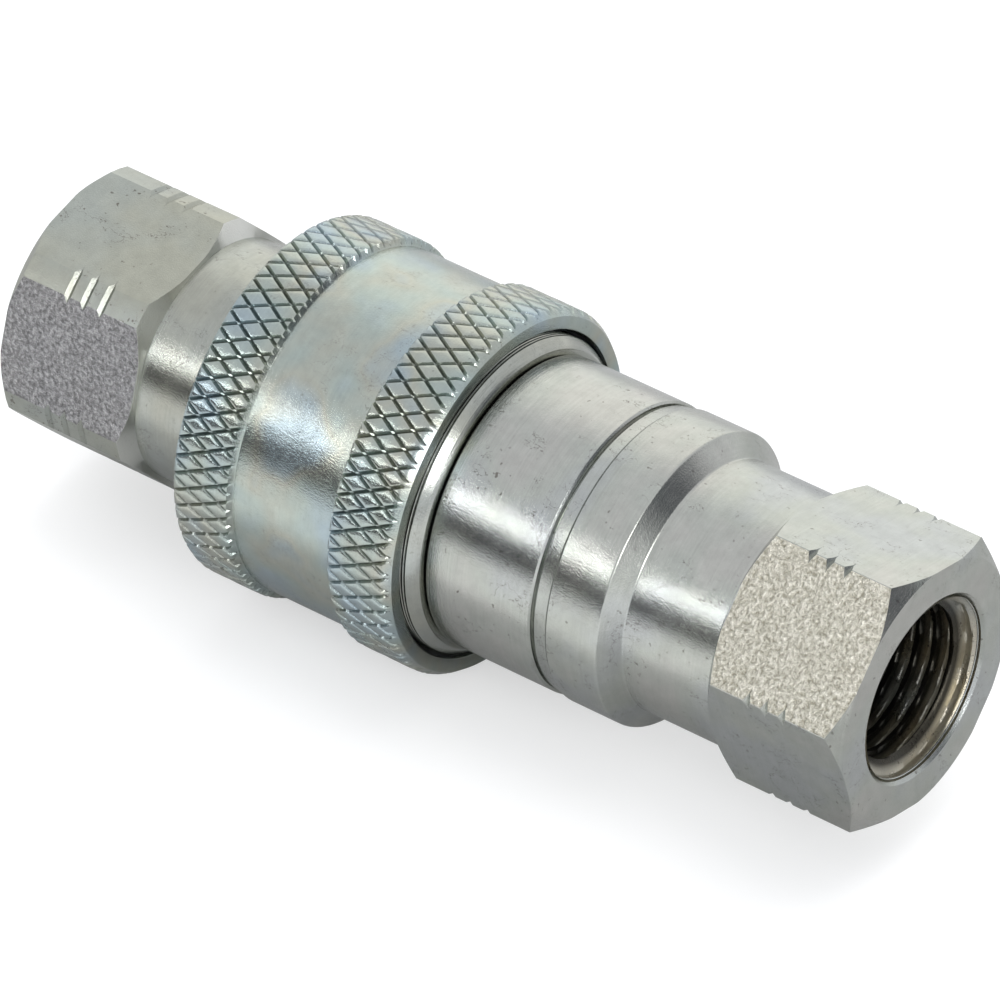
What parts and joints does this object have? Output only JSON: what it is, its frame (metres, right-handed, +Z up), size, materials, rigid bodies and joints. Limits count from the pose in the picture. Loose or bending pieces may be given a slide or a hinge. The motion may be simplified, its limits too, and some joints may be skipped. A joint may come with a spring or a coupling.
{
  "type": "quick disconnect coupler",
  "caption": "Coupled hydraulic quick disconnect: hexagon socket and plug with threaded ports, and a sliding knurled ball-lock sleeve between them.",
  "frame": {"origin": "on the axis of the coupler at mid-length", "axes": "+X along the axis towards the plug's port, +Z up; the coupler is coupled and lies along X"},
  "size_m": [0.073, 0.0276, 0.0276],
  "materials": {
    "socket_steel": "zinc plated, turned",
    "socket_hex_steel": "zinc plated, drawn hexagon bar",
    "sleeve_steel": "zinc plated, knurled, faint rainbow tint",
    "plug_steel": "zinc plated, turned",
    "plug_hex_steel": "zinc plated, turned neck and drawn hexagon bar",
    "spring_steel": "drawn wire",
    "valve_steel": "turned",
    "ball_steel": "polished",
    "seal_rubber": "matt nitrile",
    "seal_plastic": "white PTFE"
  },
  "bodies": {
    "socket": {"socket_body": "socket_steel", "socket_front_collar": "socket_steel", "socket_adapter": "socket_hex_steel", "nose_seal_o_ring": "seal_rubber", "nose_seal_backup_ring": "seal_plastic", "socket_joint_gasket": "seal_plastic", "socket_valve_guide": "valve_steel", "socket_valve_spring": "spring_steel", "sleeve_spring": "spring_steel"},
    "stop_ring": {"sleeve_retaining_ring": "spring_steel"},
    "sleeve": {"sleeve": "sleeve_steel"},
    "ball_1": {"locking_ball_1": "ball_steel"},
    "ball_2": {"locking_ball_2": "ball_steel"},
    "ball_3": {"locking_ball_3": "ball_steel"},
    "ball_4": {"locking_ball_4": "ball_steel"},
    "ball_5": {"locking_ball_5": "ball_steel"},
    "ball_6": {"locking_ball_6": "ball_steel"},
    "ball_7": {"locking_ball_7": "ball_steel"},
    "ball_8": {"locking_ball_8": "ball_steel"},
    "plug": {"plug_body": "plug_steel", "plug_adapter": "plug_hex_steel", "plug_joint_gasket": "seal_plastic", "plug_valve_guide": "valve_steel", "plug_valve_spring": "spring_steel"},
    "socket_poppet": {"socket_poppet": "valve_steel", "socket_poppet_o_ring": "seal_rubber"},
    "plug_poppet": {"plug_poppet": "valve_steel", "plug_poppet_o_ring": "seal_rubber"}
  },
  "joints": [
    {"name": "sleeve_spin", "type": "hinge", "parent": "socket", "child": "stop_ring", "pos_m": [-0.0018, 0, 0], "axis": [1, 0, 0], "continuous": true},
    {"name": "sleeve_slide", "type": "slide", "parent": "stop_ring", "child": "sleeve", "axis": [-1, 0, 0], "range_m": [0, 0.004], "stiffness_N_per_m": 2000, "springref_m": -0.008, "deforming": ["sleeve_spring"]},
    {"name": "ball_1_lift", "type": "slide", "parent": "socket", "child": "ball_1", "axis": [0, 1, 0], "range_m": [0, 0.0008]},
    {"name": "ball_2_lift", "type": "slide", "parent": "socket", "child": "ball_2", "axis": [0, 0.7071, 0.7071], "range_m": [0, 0.0008]},
    {"name": "ball_3_lift", "type": "slide", "parent": "socket", "child": "ball_3", "axis": [0, 0, 1], "range_m": [0, 0.0008]},
    {"name": "ball_4_lift", "type": "slide", "parent": "socket", "child": "ball_4", "axis": [0, -0.7071, 0.7071], "range_m": [0, 0.0008]},
    {"name": "ball_5_lift", "type": "slide", "parent": "socket", "child": "ball_5", "axis": [0, -1, 0], "range_m": [0, 0.0008]},
    {"name": "ball_6_lift", "type": "slide", "parent": "socket", "child": "ball_6", "axis": [0, -0.7071, -0.7071], "range_m": [0, 0.0008]},
    {"name": "ball_7_lift", "type": "slide", "parent": "socket", "child": "ball_7", "axis": [0, 0, -1], "range_m": [0, 0.0008]},
    {"name": "ball_8_lift", "type": "slide", "parent": "socket", "child": "ball_8", "axis": [0, 0.7071, -0.7071], "range_m": [0, 0.0008]},
    {"name": "plug_swivel", "type": "hinge", "parent": "socket", "child": "plug", "pos_m": [-0.0046, 0, 0], "axis": [1, 0, 0], "continuous": true},
    {"name": "socket_poppet_slide", "type": "slide", "parent": "socket", "child": "socket_poppet", "axis": [1, 0, 0], "range_m": [-0.0008, 0.0008], "stiffness_N_per_m": 1500, "deforming": ["socket_valve_spring"]},
    {"name": "plug_poppet_slide", "type": "slide", "parent": "plug", "child": "plug_poppet", "axis": [1, 0, 0], "range_m": [-0.0008, 0.0008], "deforming": ["plug_valve_spring"]}
  ],
  "couplings": [
    {"joint": "ball_1_lift", "follows": "sleeve_slide", "ratio": 0.2},
    {"joint": "ball_2_lift", "follows": "sleeve_slide", "ratio": 0.2},
    {"joint": "ball_3_lift", "follows": "sleeve_slide", "ratio": 0.2},
    {"joint": "ball_4_lift", "follows": "sleeve_slide", "ratio": 0.2},
    {"joint": "ball_5_lift", "follows": "sleeve_slide", "ratio": 0.2},
    {"joint": "ball_6_lift", "follows": "sleeve_slide", "ratio": 0.2},
    {"joint": "ball_7_lift", "follows": "sleeve_slide", "ratio": 0.2},
    {"joint": "ball_8_lift", "follows": "sleeve_slide", "ratio": 0.2},
    {"joint": "plug_poppet_slide", "follows": "socket_poppet_slide", "ratio": 1}
  ]
}
